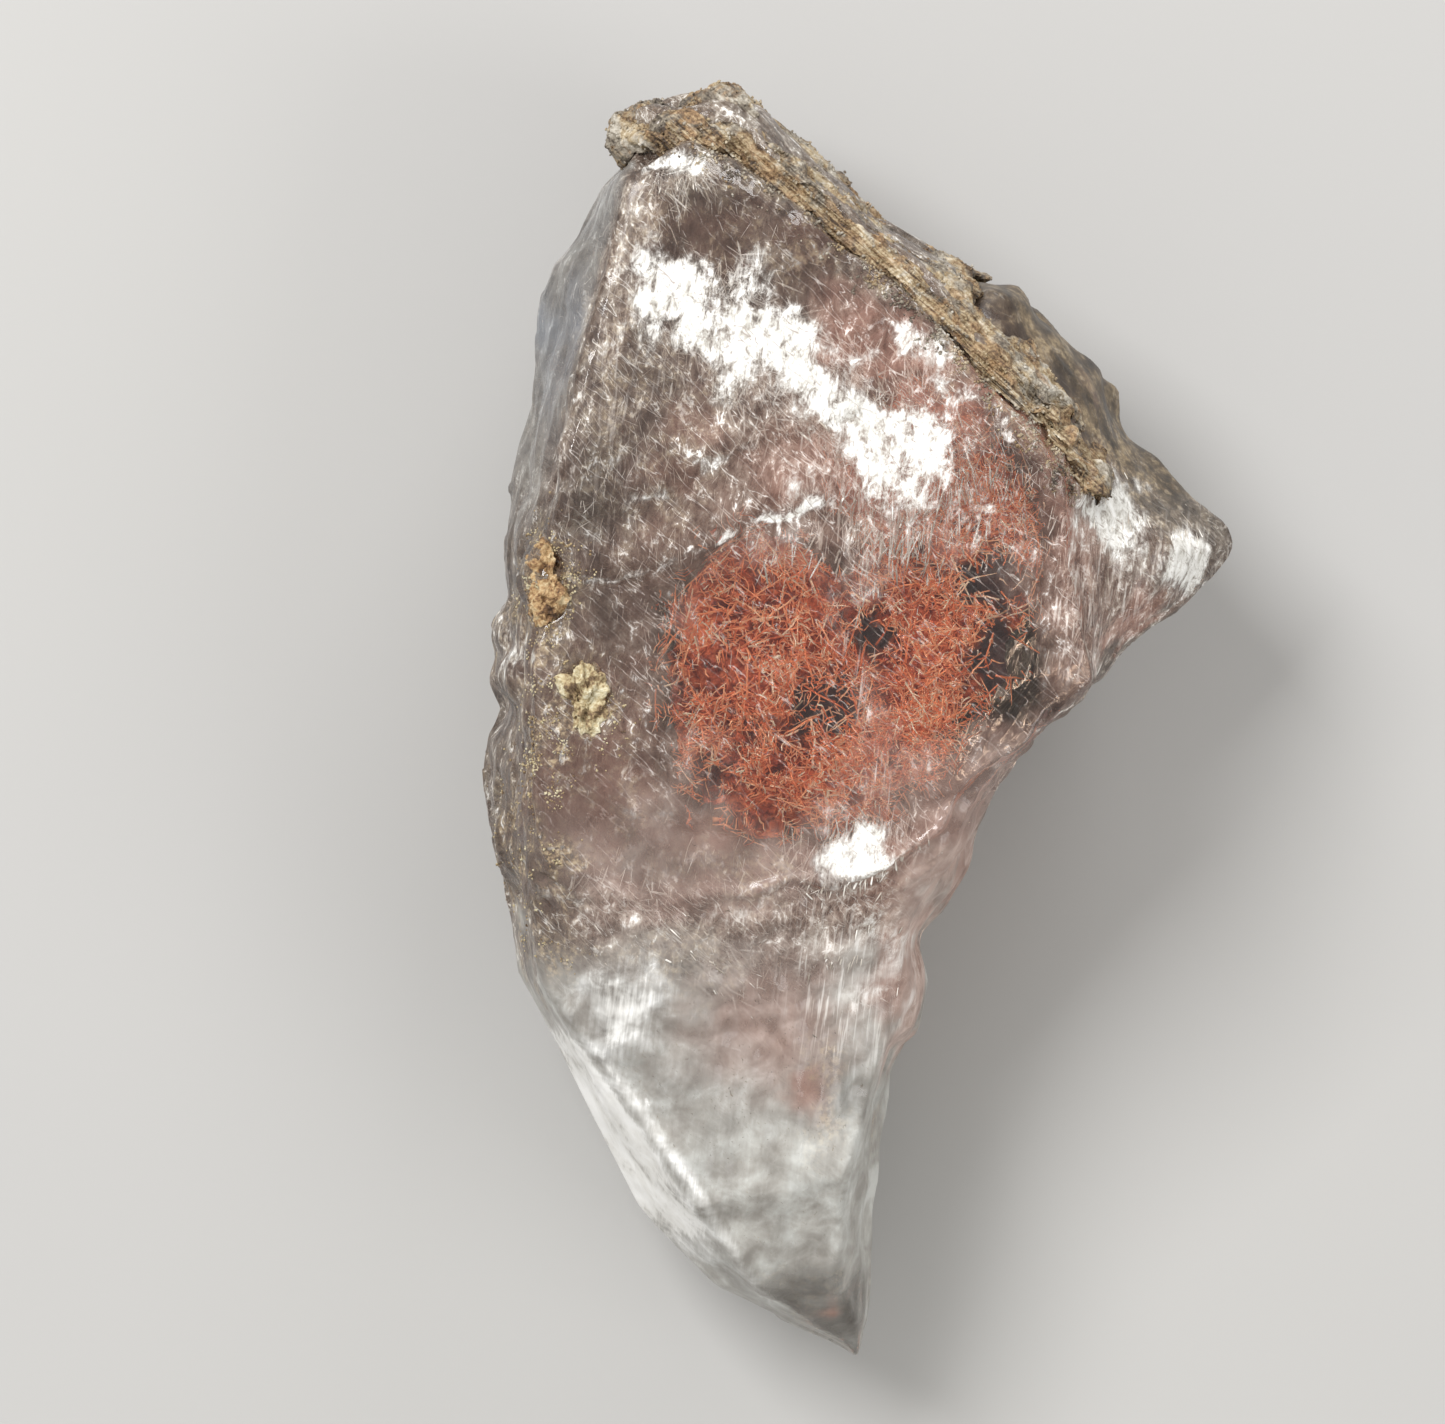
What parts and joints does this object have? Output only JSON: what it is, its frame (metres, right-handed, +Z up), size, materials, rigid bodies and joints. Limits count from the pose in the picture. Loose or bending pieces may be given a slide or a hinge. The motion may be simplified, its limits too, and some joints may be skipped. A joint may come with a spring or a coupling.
{
  "type": "native copper specimen",
  "caption": "Clear cleaved gypsum crystal grown around a tangle of native copper wires, with an earthy limonite crust, lying on its flat back.",
  "frame": {"origin": "below the middle of the specimen's box, on the surface that it lies on", "axes": "+Y from the crystal's point to its blunt head, the crystal's length; +Z up, from the flat back cleavage to the broad front cleavage; +X to the right, seen from above with the head away"},
  "size_m": [0.0286, 0.0482, 0.0165],
  "materials": {
    "selenite": "clear to milky cleaved gypsum with veils and silky striations",
    "copper": "warm orange-red native copper wires, satin",
    "limonite": "earthy, granular tan to dark brown crust",
    "ochre": "dull, powdery yellow ochre"
  },
  "bodies": {
    "root": {"selenite_front": "selenite", "selenite_back": "selenite", "native_copper": "copper", "limonite_crust": "limonite", "ochre_fill_upper": "ochre", "ochre_fill_lower": "ochre"}
  },
  "joints": []
}
